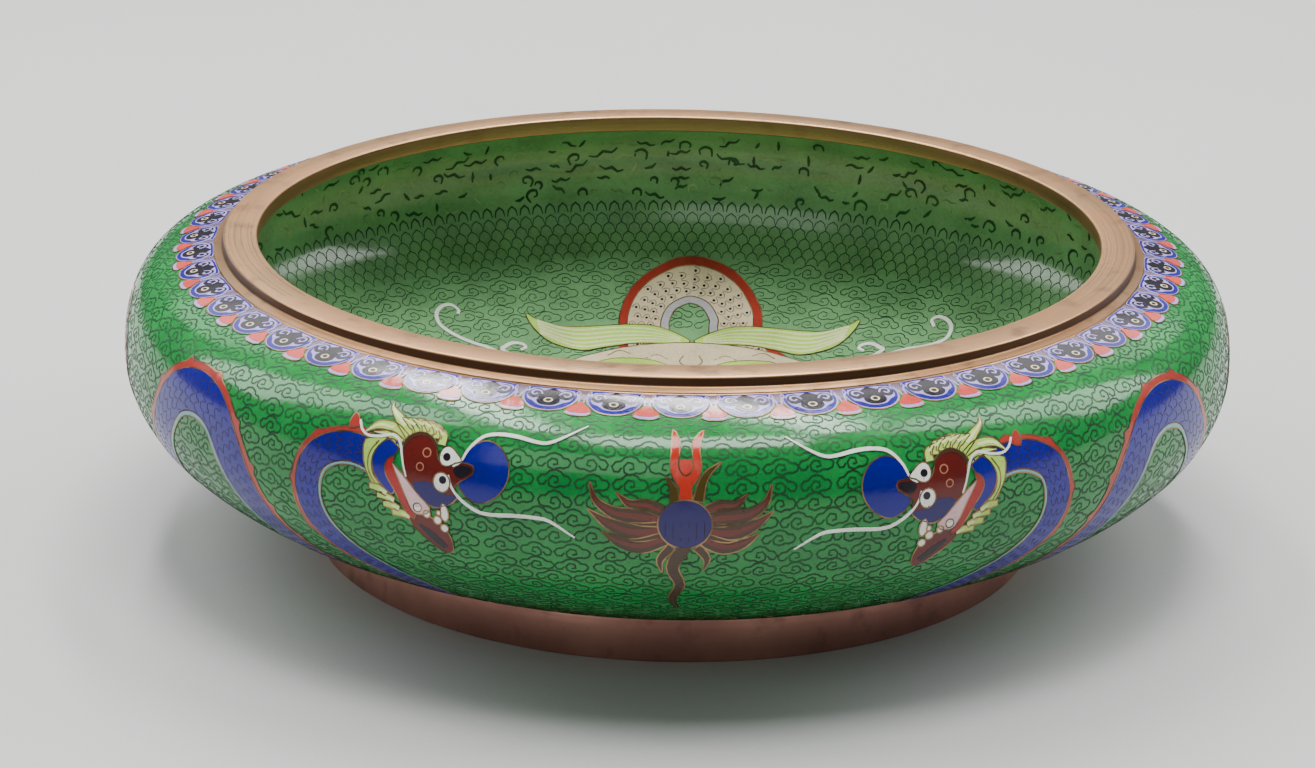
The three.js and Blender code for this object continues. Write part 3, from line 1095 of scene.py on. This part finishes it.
def claw_foot(picture, put, level, skin_colour):
    """A foot with its leg, four toes with hooked claws, and a tuft of flames behind it."""
    for points in (
        [(-10, 5), (-15, 4), (-18, 7)],
        [(-9, 3), (-14, 0.6), (-18, 1.6)],
        [(-7, 1.4), (-11, -2), (-15, -2)],
    ):
        picture.cell("ridge", level, put(strand(points, [2.6, 2.2, 0.2])))
    leg = strand([(-12, 9), (-7, 4), (-2, 1), (1.6, 0)], [7.4, 6, 4.4, 5.4])
    picture.cell(skin_colour, level + 1, put(leg))
    for turn in (-75, -28, 18, 62):
        toe = joined(placed((0, 0), math.radians(turn)), put)
        picture.cell("teal", level + 2, toe(strand([(0.6, 0), (3.6, 1.4), (6.2, 0.4)], [2, 2.4, 1.6])))
        picture.cell("white", level + 3, toe(strand([(5.6, 0.6), (8, 0), (9.6, -2.4)], [1.5, 1.1, 0.1])))


def tail_fan(picture, put, level):
    """A tuft of pointed locks at the end of a tail."""
    for turn in (-40, -20, 0, 20, 40):
        lock = joined(placed((0, 0), math.radians(turn)), put)
        picture.cell("ridge", level, lock(strand([(0, 0), (4, 1), (8, 0.4), (11.5, -1)], [1, 2.8, 2, 0.2])))


def dragons_picture():
    """The two dragons that face each other across the pearl."""
    picture = Picture()
    line = body_line()
    for side, drop in ((-1, 0), (1, RIGHT_HEAD_DROP)):
        sheet = placed((0, 0), flip=side)
        tail_fan(picture, joined(placed(TAIL[-1], math.radians(84)), sheet), 0)
        scaled_body(picture, line, BODY_HALF_WIDTHS, sheet, 0, ("blue", "teal"))
        for across, up, turn in FEET:
            claw_foot(picture, joined(placed((across, up), math.radians(turn)), sheet), 2, "blue")
        place = (side * HEAD_PLACE[0], HEAD_PLACE[1] - drop)
        dragon_head(picture, placed(place, HEAD_LEAN, flip=-side))
    return picture


def back_pearl_picture(shape):
    """The pearl again, between the two tails at the back."""
    return pearl_picture(placed((math.pi * shape.belly_radius / MM, 0)))


# The inside


# The dragon on the floor, in plan from the middle of the bowl, with the back of the bowl up
INNER_BODY = [
    (-7.4, 80), (-7.6, 92), (-7.6, 99), (-4.6, 106), (2.9, 110), (10.4, 107), (14.2, 99.6), (14.6, 92),
    (20, 80), (31, 68), (46, 55), (59, 35), (64, 10), (60, -20), (40, -48), (8, -62), (-26, -58),
    (-52, -36), (-62, -6), (-60, 22), (-52, 44), (-46, 60),
]
INNER_HALF_WIDTHS = [5.4, 5.8, 6, 6.6, 6.9, 6.9, 6.6, 6, 5, 3.6, 1.2]
INNER_FEET = ((46, 12, -143), (28, -34, -173), (-14, -42, 109), (-42, 4, 37))
FACE_FOOT = (1.6, 0)
FACE_LEAN = math.radians(-1.5)
WING = [(-0.5, 90.2), (-8.5, 95), (-17.6, 95.2), (-32.8, 91.6), (-40, 91.8), (-44.4, 93.6), (-41.8, 88.7),
        (-36.7, 84.4), (-28.8, 83.1), (-22.8, 85.5), (-14.4, 88.3), (-4.7, 88.9)]
WING_TOP = np.array([(-3, 91.4), (-10, 94.6), (-20, 94.6), (-32, 91.6), (-41.6, 92.4)])
WING_FOOT = np.array([(-3, 89.4), (-12, 88.8), (-21, 86.4), (-30, 83.6), (-40, 87)])


def face_half(flip):
    """Places what is drawn for one side of the inner dragon's face."""
    return placed(FACE_FOOT, flip * FACE_LEAN, flip)


def inner_dragon_picture():
    """The dragon on the floor: a face seen from in front, wings of mane and one long body."""
    picture = Picture()
    cell = picture.cell
    tail_fan(picture, placed(INNER_BODY[-1], math.radians(70)), 0)
    body = smooth(INNER_BODY, closed=False, steps=5)
    skin = ("cream", "mist")
    scaled_body(picture, body, INNER_HALF_WIDTHS, placed(), 0, skin, 0.4, 0.4, 0.05, "slate")
    for across, up, turn in INNER_FEET:
        claw_foot(picture, placed((across, up), math.radians(turn), size=1.2), 3, "cream")
    for flip in (1, -1):
        half = face_half(flip)
        for points, widths in (
            ([(26, 74), (36, 72), (46, 73), (53, 70)], [8, 7, 4, 0.4]),
            ([(26, 66), (36, 62), (45, 62), (51, 57)], [8, 7, 4, 0.4]),
            ([(22, 56), (32, 50), (40, 50), (45, 44)], [8, 7, 4, 0.4]),
            ([(14, 46), (22, 38), (30, 37), (34, 30)], [7, 6, 4, 0.4]),
            ([(5, 38), (9, 29), (8, 22), (11, 15)], [6, 6, 4, 0.4]),
        ):
            cell("lime", 3, half(strand(points, widths)))
            for share in (-0.2, 0.2):
                flow = beside(smooth(points[:-1], closed=False), share * widths[0])
                cell("pale", 4, half(strand(flow[::3], [0.4, 0.6, 0.3], 2)), edge=False)
        cell("lime", 4, half(smooth(WING, steps=3)))
        for share in (0.12, 0.32, 0.52, 0.72, 0.9):
            flow = (1 - share) * WING_TOP + share * WING_FOOT
            cell("pale", 5, half(strand(flow, [0.3, 0.55, 0.7, 0.9])), edge=False)
    face = [(0, 34), (10, 35), (18, 41), (22, 50), (29, 58), (34, 68), (33, 76), (26, 82), (14, 87.4),
            (0, 89.4)]
    cell("cream", 5, face_half(1)(smooth(mirrored(face), steps=3)))
    mouth = [(0, 36.6), (8, 38), (14, 43), (17, 49), (8, 47.6), (0, 46.6)]
    tongue = [(0, 31), (3, 32.6), (4.4, 38), (4, 43), (0, 44.4)]
    cell("lips", 6, face_half(1)(smooth(mirrored(mouth), steps=2)))
    cell("tongue", 7, face_half(1)(smooth(mirrored(tongue), steps=2)))
    for flip in (1, -1):
        half = face_half(flip)
        cell("ridge", 6, half(strand([(0, 48.2), (8, 48.6), (14, 50.4), (19, 55)], [3, 3, 2.4, 0.4])))
        cell("snout", 6, half(disc((6, 54.6), 5, 4.2, 20)))
        cell("black", 7, half(disc((7.4, 53.6), 1.5, 1.2, 10)), edge=False)
        cell("snout", 6, half(strand([(0, 57), (1.4, 64), (1.6, 72)], [3.4, 3, 0.4])))
        cell("lime", 6, half(strand([(3, 74), (10, 79), (20, 79), (29, 74)], [2, 4.4, 4, 0.4])))
        cell("white", 6, half(disc((13, 68), 6, 5, 24)))
        cell("black", 7, half(disc((12, 67.6), 2.6, corners=16)), edge=False)
        cell("maroon", 6, half(strand([(7, 61), (13, 60.4), (19, 62.4)], [1, 1.8, 0.4])))
        for across, up in ((3, 46.8), (7.4, 46.8), (11.4, 48)):
            cell("white", 7, half(strand([(across, up), (across + 0.4, up - 4)], [2, 0.2], 3)))
        for points in (
            [(6, 82), (9, 84), (12, 82)],
            [(16, 83.6), (19, 84.6), (22, 82)],
            [(1, 78), (3, 81), (2, 84)],
        ):
            picture.wire(half(smooth(points, closed=False)), 5)
    whiskers = (
        [(-20, 64), (-34, 72), (-47.9, 78.2), (-53, 79.2), (-57.2, 80.2), (-60.5, 81.6), (-62.7, 83.4),
         (-63.5, 86.6), (-62.2, 89.6), (-60, 91), (-58, 90.1), (-58, 88.6)],
        [(22, 63), (38, 71), (50, 76), (59.1, 77.5), (63.4, 77), (67, 76.9), (70.3, 77.7), (71.7, 81),
         (70.8, 84.1), (68.7, 86.2), (66.9, 85.8), (67.4, 83.3)],
        [(-34, 74), (-45, 78.5), (-44.9, 80.7), (-43, 82.6), (-40.6, 82.8), (-39.8, 81.6), (-41, 80.4)],
        [(40, 73), (53, 78.5), (52.9, 80.7), (51, 82.6), (48.6, 82.8), (47.8, 81.6), (49, 80.4)],
    )
    for points in whiskers:
        cell("white", 6, strand(points, [1.4, 1.2, 1.1, 1.1, 0.8]), edge=False)
    return picture


# Small marks on the wall inside
STROKES = (
    [(-3.2, -1.4), (-3.4, 1.2), (-1.4, 2.2), (0.4, 1.2), (-0.2, -0.4), (-1.4, -0.2)],
    [(-3, 0.4), (-1, 1.4), (1, 0.6), (3.2, 1.2)],
    [(2.4, -1.8), (3, 0.6), (1.4, 2), (-0.6, 1.4), (-0.8, -0.2)],
    [(-2, -1.4), (0.4, -1.8), (2.2, -1)],
    [(-4.6, 0.2), (-2.4, -0.8), (0, 0.6), (2.4, -0.4), (4.8, 0.8)],
    [(-1.2, -1.6), (-0.4, 0), (0.2, 1.8)],
)

# Scallops to a row and marks to a row
WALL_CELLS = 224
STROKES_ROUND = 140

# Rows on the wall inside, by the length along the skin, and size of their arcs
SCALLOP_ROWS = np.arange(122, 135, 2.7)
BUMP_ROW = 135.8
STROKE_ROWS = (140.8, 144.4, 148, 151.6, 155.2)
ARC_RISE = 2.6


def wall_lines(shape):
    """Scallops round the lower wall inside, a row of bumps over them, and dark and pale strokes."""
    girth = shape.belly_radius / MM
    around = 2 * math.pi * girth
    pitch = around / WALL_CELLS
    scallops, bumps, strokes, pale_strokes = [], [], [], []
    arc = np.array([(-0.5, 0), (-0.36, 0.66), (0, 1), (0.36, 0.66), (0.5, 0)])
    for row, up in enumerate(SCALLOP_ROWS):
        for turn in range(WALL_CELLS):
            scallops.append(arc * (pitch, ARC_RISE) + ((turn + 0.5 * (row % 2)) * pitch, up))
    for turn in range(WALL_CELLS):
        bumps.append(arc * (0.8 * pitch, ARC_RISE) + (turn * pitch, BUMP_ROW))
    hand = np.random.default_rng(7)
    for row, up in enumerate(STROKE_ROWS):
        for turn in range(STROKES_ROUND):
            across = (turn + 0.4 * row + hand.uniform(-0.3, 0.3)) * around / STROKES_ROUND
            place = (across, up + hand.uniform(-1.2, 1.2))
            put = placed(place, hand.uniform(-0.5, 0.5), hand.choice((-1, 1)), hand.uniform(0.45, 0.9))
            line = put(smooth(STROKES[hand.integers(len(STROKES))], closed=False, steps=2))
            (pale_strokes if hand.random() < 0.28 else strokes).append(line)
    return scallops, bumps, strokes, pale_strokes


# Operators


def settings():
    """The scene's own settings: shape, wire work and design."""
    scene = bpy.context.scene
    return scene.bowl_shape, scene.wire_work, scene.bowl_design


def outside_lay():
    """How drawings lie on the outside of the bowl, with the pearl a little right of the front."""
    shape, _, design = settings()
    return round_the_bowl(skins(shape)[0], shape.belly_radius, -1, design.middle)


class MakeShell(bpy.types.Operator):
    """Spin the copper shell with its enamelled faces"""

    bl_idname = "bowl.shell"
    bl_label = "Shell"

    def execute(self, context):
        shape, _, _ = settings()
        underside, upper = outside_line(shape)
        _, inside = skins(shape)
        bm = spun(np.vstack((underside, upper[1:], inside.line[::-1])))
        for face in bm.faces:
            spot = face.calc_center_median()
            here = (math.hypot(spot.x, spot.y), spot.z)
            gaps = [np.hypot(*(line - here).T).min() for line in (upper, inside.line, underside)]
            face.material_index = int(np.argmin(gaps))
        mesh = as_mesh(bm, "enamelled_shell")
        for name in ("ground", "inner", "under"):
            mesh.materials.append(enamel(name))
        add_piece(mesh, "bowl_body")
        return {"FINISHED"}


class MakeMouthRim(bpy.types.Operator):
    """Turn the brass ring over the shell's edge"""

    bl_idname = "bowl.mouth_rim"
    bl_label = "Mouth rim"

    def execute(self, context):
        shape, _, _ = settings()
        outer, _ = skins(shape)
        top = shape.rim_top
        down = (outer.line - outer.normal * shape.solder)[::-1]
        over = [tuple(place) for place in down[: int(np.argmax(down[:, 0] > shape.rim_skirt_radius))]]
        tip_height = over[-1][1]
        section = rounded(
            [
                (shape.rim_skirt_radius, tip_height + SKIRT_EDGE),
                (shape.rim_plate_radius + WALL_LEAN, top - shape.rim_wall_depth),
                (shape.rim_plate_radius, top),
                (shape.rim_lip_radius, top),
                (shape.rim_lip_radius, top - shape.rim_lip_depth),
                (shape.edge_radius, top - shape.rim_lip_depth),
            ],
            RIM_EASE,
        )
        section = [(shape.rim_skirt_radius, tip_height - shape.solder), *section, *over]
        mesh = as_mesh(spun(section), "turned_mouth_rim", 50)
        brass = ring_brass(
            "mouth_brass",
            srgb(196, 154, 110),
            srgb(160, 116, 78),
            srgb(62, 38, 24),
            # The lip's and the plate's edges are brightened, partly as wear and partly as a painted
            # highlight
            edges=(shape.rim_lip_radius, shape.rim_plate_radius),
            # Painted shade on the rim under its plate, darkest on the outer wall
            wall=(shape.rim_plate_radius, top),
        )
        mesh.materials.append(brass)
        add_piece(mesh, "mouth_rim")
        return {"FINISHED"}


class MakeFootRing(bpy.types.Operator):
    """Turn the ring that the bowl stands on"""

    bl_idname = "bowl.foot_ring"
    bl_label = "Foot ring"

    def execute(self, context):
        shape, _, _ = settings()
        inner = shape.foot_radius - shape.foot_wall
        section = rounded(
            [
                (inner, foot_low.z),
                (shape.foot_radius, foot_low.z),
                (shape.foot_radius, shape.foot_seat + SEAT_RISE),
                (inner, shape.foot_seat - SEAT_FALL),
            ],
            FOOT_EASE,
        )
        mesh = as_mesh(spun(section), "turned_foot_ring", 50)
        mesh.materials.append(
            ring_brass("foot_brass", srgb(206, 150, 134), srgb(158, 110, 100), srgb(80, 52, 44))
        )
        add_piece(mesh, "foot_ring")
        return {"FINISHED"}


class MakeBorder(bpy.types.Operator):
    """Inlay the border of cloud heads round the mouth"""

    bl_idname = "bowl.border"
    bl_label = "Border"

    def execute(self, context):
        shape, _, design = settings()
        border_picture(design, shape).make("border", outside_lay())
        return {"FINISHED"}


class MakeOutsideClouds(bpy.types.Operator):
    """Lay the cloud wires over the outside"""

    bl_idname = "bowl.outside_clouds"
    bl_label = "Outside clouds"

    def execute(self, context):
        shape, work, design = settings()
        outer, _ = skins(shape)
        pictures = (dragons_picture(), pearl_picture(), back_pearl_picture(shape))
        covers = [outline for picture in pictures for outline in picture.outlines]
        lines = uncovered(clouds(outer, OUTSIDE_ROWS, 1, shape, design), covers)
        girth = shape.belly_radius / MM
        lay_clouds(("front_clouds", "back_clouds"), lines, outside_lay(), work.ground_wire, girth)
        return {"FINISHED"}


class MakePearl(bpy.types.Operator):
    """Inlay the flaming pearl at the front"""

    bl_idname = "bowl.pearl"
    bl_label = "Flaming pearl"

    def execute(self, context):
        pearl_picture().make("pearl", outside_lay())
        return {"FINISHED"}


class MakeDragons(bpy.types.Operator):
    """Inlay the two dragons on the outside"""

    bl_idname = "bowl.dragons"
    bl_label = "Dragons"

    def execute(self, context):
        dragons_picture().make("dragons", outside_lay())
        return {"FINISHED"}


class MakeBackPearl(bpy.types.Operator):
    """Inlay the pearl between the two tails at the back"""

    bl_idname = "bowl.back_pearl"
    bl_label = "Back pearl"

    def execute(self, context):
        back_pearl_picture(settings()[0]).make("back_pearl", outside_lay())
        return {"FINISHED"}


class MakeInsideClouds(bpy.types.Operator):
    """Lay the cloud wires over the floor"""

    bl_idname = "bowl.inside_clouds"
    bl_label = "Inside clouds"

    def execute(self, context):
        shape, work, design = settings()
        _, inner = skins(shape)
        girth = shape.belly_radius / MM

        def on_plan(points):
            turn = points[:, 0] / girth
            reach = inner.radius_at(points[:, 1] * MM) / MM
            return np.stack((reach * np.sin(turn), reach * np.cos(turn)), axis=1)

        lines = clouds(inner, FLOOR_ROWS, design.floor_clouds, shape, design)
        lines = uncovered(lines, inner_dragon_picture().outlines, on_plan)
        lay = round_the_bowl(inner, shape.belly_radius, 1)
        lay_clouds(("far_floor_clouds", "near_floor_clouds"), lines, lay, work.floor_wire, girth)
        return {"FINISHED"}


class MakeInsideWall(bpy.types.Operator):
    """Lay the scallops, bumps and strokes round the wall inside"""

    bl_idname = "bowl.inside_wall"
    bl_label = "Inside wall"

    def execute(self, context):
        shape, work, _ = settings()
        _, inner = skins(shape)
        lay = round_the_bowl(inner, shape.belly_radius, 1)
        scallops, bumps, strokes, pale_strokes = wall_lines(shape)
        for name, lines, width, metal in (
            ("wall_scallops", scallops, 0.3, ground_wire_metal()),
            ("wall_bumps", bumps, 0.5, ground_wire_metal()),
            ("wall_strokes", strokes, 0.8, ground_wire_metal()),
            ("wall_pale_strokes", pale_strokes, 0.5, pale_wire_metal()),
        ):
            tapered = [(line, work.wire_lift, False, (0.6, 1.2, 0.5)) for line in lines]
            wires(name, tapered, lay, width * MM, metal)
        return {"FINISHED"}


class MakeInnerDragon(bpy.types.Operator):
    """Inlay the dragon on the floor"""

    bl_idname = "bowl.inner_dragon"
    bl_label = "Dragon inside"

    def execute(self, context):
        inner_dragon_picture().make("inner_dragon", over_the_floor(skins(settings()[0])[1]))
        return {"FINISHED"}


# Long lights overhead with their turns, and lights that face the bowl
STRIPS = (("left_strip", (-0.31, 0.65, 1.15), 0), ("right_strip", (0.14, 0.7, 1.15), 17))
STRIP_SIZE = (0.13, 1.45)
BOXES = (
    ("top_box", (0.05, -0.3, 1.4), (0.7, 0.5), "top_power"),
    ("front_fill", (-0.5, -1.5, 1.1), (1.2, 0.9), "fill_power"),
    ("left_box", (-0.98, 0.22, 0.95), (0.6, 1.2), "side_power"),
    ("right_box", (0.98, 0.22, 0.95), (0.6, 1.2), "side_power"),
    ("back_box", (0, 1.3, 0.95), (2.4, 0.5), "back_power"),
)
SKY_COLOUR = (0.86, 0.9, 0.95, 1)
CAMERA_PLACE = Vector((0, -0.8124, 0.3211))
CAMERA_AIM = Vector((-0.0045, 0.0007, 0.0342))
FLOOR_REACH = 4


def softbox(name, place, turn, size, power):
    """A large soft light, turned from facing straight down."""
    light = bpy.data.lights.new(name, "AREA")
    light.shape = "RECTANGLE"
    light.size, light.size_y = size
    light.energy = power
    lamp = bpy.data.objects.new(name, light)
    lamp.location = place
    lamp.rotation_mode = "QUATERNION"
    lamp.rotation_quaternion = turn
    bpy.context.scene.collection.objects.link(lamp)


def facing_bowl(place):
    """The turn that makes a light face the bowl."""
    return (Vector((0, 0, 0.05)) - Vector(place)).to_track_quat("-Z", "Y")


class MakeStage(bpy.types.Operator):
    """Set up the camera, the pale floor and the soft light"""

    bl_idname = "bowl.stage"
    bl_label = "Stage"

    def execute(self, context):
        scene = context.scene
        studio = scene.bowl_studio
        data = bpy.data.cameras.new("photo_camera")
        data.lens = studio.lens
        data.sensor_width = 36
        camera = bpy.data.objects.new("photo_camera", data)
        camera.location = CAMERA_PLACE
        aim = CAMERA_AIM - CAMERA_PLACE
        camera.rotation_mode = "QUATERNION"
        camera.rotation_quaternion = aim.to_track_quat("-Z", "Y") @ Quaternion((0, 0, 1), studio.roll)
        scene.collection.objects.link(camera)
        scene.camera = camera

        world = bpy.data.worlds.new("even_light")
        world.use_nodes = True
        sky = world.node_tree.nodes["Background"]
        sky.inputs["Color"].default_value = SKY_COLOUR
        sky.inputs["Strength"].default_value = studio.world_light
        scene.world = world
        upright = Vector((0, 0, 1))
        for name, place, turn in STRIPS:
            softbox(name, place, Quaternion(upright, math.radians(turn)), STRIP_SIZE, studio.strip_power)
        for name, place, size, power in BOXES:
            softbox(name, place, facing_bowl(place), size, getattr(studio, power))

        bm = bmesh.new()
        bmesh.ops.create_grid(bm, x_segments=8, y_segments=8, size=FLOOR_REACH)
        floor = bpy.data.objects.new("floor", as_mesh(bm, "floor"))
        floor.data.materials.append(floor_paper(tuple(studio.floor_colour)))
        scene.collection.objects.link(floor)
        return {"FINISHED"}


OPERATORS = (
    MakeShell,
    MakeMouthRim,
    MakeFootRing,
    MakeBorder,
    MakeOutsideClouds,
    MakePearl,
    MakeDragons,
    MakeBackPearl,
    MakeInsideClouds,
    MakeInsideWall,
    MakeInnerDragon,
    MakeStage,
)


class BowlPanel(bpy.types.Panel):
    """Lists the bowl's operators and settings"""

    bl_idname = "VIEW3D_PT_bowl"
    bl_label = "Cloisonne Bowl"
    bl_space_type = "VIEW_3D"
    bl_region_type = "UI"
    bl_category = "Bowl"

    def draw(self, context):
        column = self.layout.column()
        for operator in OPERATORS:
            column.operator(operator.bl_idname)
        for name, group in GROUPS.items():
            box = self.layout.box()
            box.label(text=group.__doc__)
            for setting in group.__annotations__:
                box.prop(getattr(context.scene, name), setting)


GROUPS = {
    "bowl_shape": BowlShape,
    "wire_work": WireWork,
    "bowl_design": Design,
    "bowl_enamels": Enamels,
    "bowl_studio": Studio,
}


def register():
    for name, group in GROUPS.items():
        bpy.utils.register_class(group)
        setattr(bpy.types.Scene, name, PointerProperty(type=group))
    for cls in (*OPERATORS, BowlPanel):
        bpy.utils.register_class(cls)


def unregister():
    for cls in reversed((*OPERATORS, BowlPanel)):
        bpy.utils.unregister_class(cls)
    for name, group in GROUPS.items():
        delattr(bpy.types.Scene, name)
        bpy.utils.unregister_class(group)


def main():
    """Makes every piece in order."""
    register()
    bpy.ops.bowl.shell()
    bpy.ops.bowl.mouth_rim()
    bpy.ops.bowl.foot_ring()
    bpy.ops.bowl.border()
    bpy.ops.bowl.outside_clouds()
    bpy.ops.bowl.pearl()
    bpy.ops.bowl.dragons()
    bpy.ops.bowl.back_pearl()
    bpy.ops.bowl.inside_clouds()
    bpy.ops.bowl.inside_wall()
    bpy.ops.bowl.inner_dragon()
    bpy.ops.bowl.stage()


if __name__ == "__main__":
    main()
